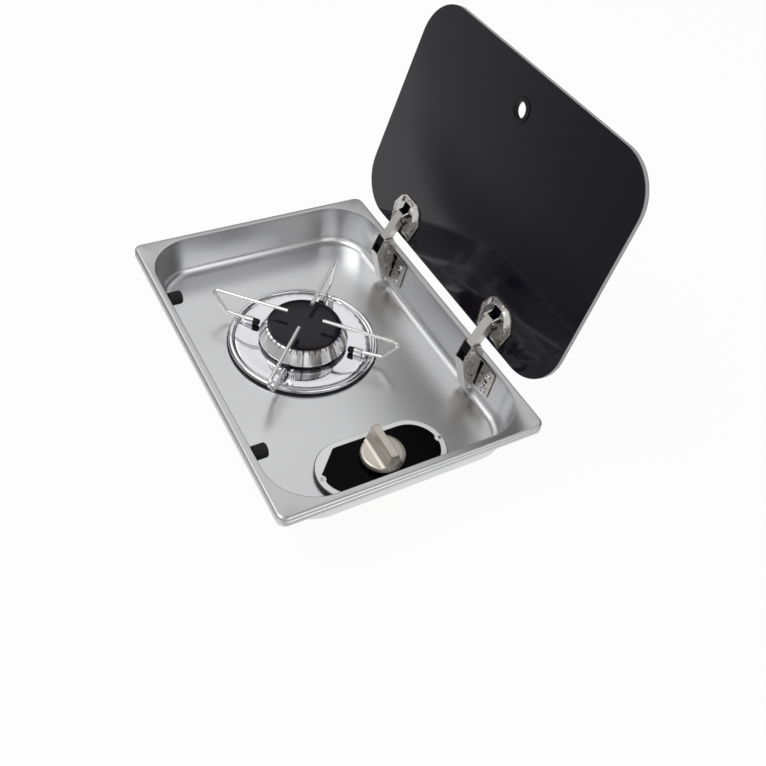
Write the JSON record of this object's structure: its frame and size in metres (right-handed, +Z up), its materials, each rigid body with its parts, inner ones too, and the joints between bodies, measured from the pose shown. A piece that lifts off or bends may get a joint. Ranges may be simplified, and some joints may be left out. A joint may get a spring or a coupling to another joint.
{
  "type": "single-burner gas cooktop",
  "caption": "Drop-in stainless gas hob: a rimmed tray with a round burner, wire pan supports, a push-and-turn control knob and a folding black glass lid on hinged arms.",
  "frame": {"origin": "middle of the tray, on the worktop plane under the turned-down rim", "axes": "+X across the tray towards the lid hinges, +Y from the knob end to the back, +Z up"},
  "size_m": [0.3062, 0.352, 0.3116],
  "materials": {
    "stainless": "satin pressed stainless steel",
    "chrome": "bright plated steel",
    "rubber": "matte black rubber",
    "enamel": "black enamel",
    "crown": "polished aluminium",
    "cast": "cast aluminium",
    "brass": "turned brass",
    "copper": "drawn copper tube",
    "black_plastic": "matte black plastic",
    "print": "pale printed plate",
    "ink": "black printed field",
    "nickel": "satin nickel lacquer",
    "ceramic": "glazed white ceramic",
    "glass": "toughened black glass"
  },
  "bodies": {
    "pan": {"pan": "stainless", "burner_gasket": "rubber", "burner_dish": "chrome", "burner_body": "cast", "injector": "brass", "burner_ring": "enamel", "burner_crown": "crown", "burner_cap": "enamel", "pan_support_front_left": "chrome", "pan_support_front_right": "chrome", "pan_support_rear_left": "chrome", "pan_support_rear_right": "chrome", "support_clips": "chrome", "support_bushes": "rubber", "thermocouple": "chrome", "spark_electrode": "ceramic", "control_base": "black_plastic", "control_panel": "print", "panel_inlay": "ink", "panel_screws": "chrome", "tap_body": "brass", "feed_tube": "copper", "inlet_tube": "stainless", "tube_nuts": "brass", "lid_buffers": "rubber", "front_hinge_bracket": "chrome", "rear_hinge_bracket": "chrome", "hinge_screws": "chrome"},
    "tap_plug": {"tap_plug": "brass"},
    "knob": {"knob": "nickel", "tap_stem": "brass"},
    "hinge_arms": {"front_hinge_arm": "chrome", "rear_hinge_arm": "chrome", "arm_pins": "chrome"},
    "hinge_links": {"front_hinge_link": "chrome", "rear_hinge_link": "chrome"},
    "lid": {"lid_glass": "glass", "lid_grommet": "rubber", "front_lid_plate": "chrome", "rear_lid_plate": "chrome", "lid_pins": "chrome", "lid_back_plates": "black_plastic"}
  },
  "joints": [
    {"name": "tap_turn", "type": "hinge", "parent": "pan", "child": "tap_plug", "pos_m": [-0.007, -0.1285, -0.031], "axis": [0, 0, 1], "range_deg": [0, 180]},
    {"name": "knob_push", "type": "slide", "parent": "tap_plug", "child": "knob", "axis": [0, 0, -1], "range_m": [0, 0.0025], "stiffness_N_per_m": 800},
    {"name": "arm_fold", "type": "hinge", "parent": "pan", "child": "hinge_arms", "pos_m": [0.1075, 0, -0.02158], "axis": [0, -1, 0], "range_deg": [0, 78.8]},
    {"name": "lid_fold", "type": "hinge", "parent": "hinge_arms", "child": "hinge_links", "pos_m": [0.1015, 0, 0.0225], "axis": [0, 1, 0], "range_deg": [0, 109.57]},
    {"name": "lid_tilt", "type": "hinge", "parent": "hinge_links", "child": "lid", "pos_m": [0.118, 0, 0.052], "axis": [0, -1, 0], "range_deg": [0, 135.1]}
  ],
  "couplings": [
    {"joint": "arm_fold", "follows": "lid_fold", "ratio": 0.71908},
    {"joint": "lid_tilt", "follows": "lid_fold", "ratio": 1.2328}
  ]
}
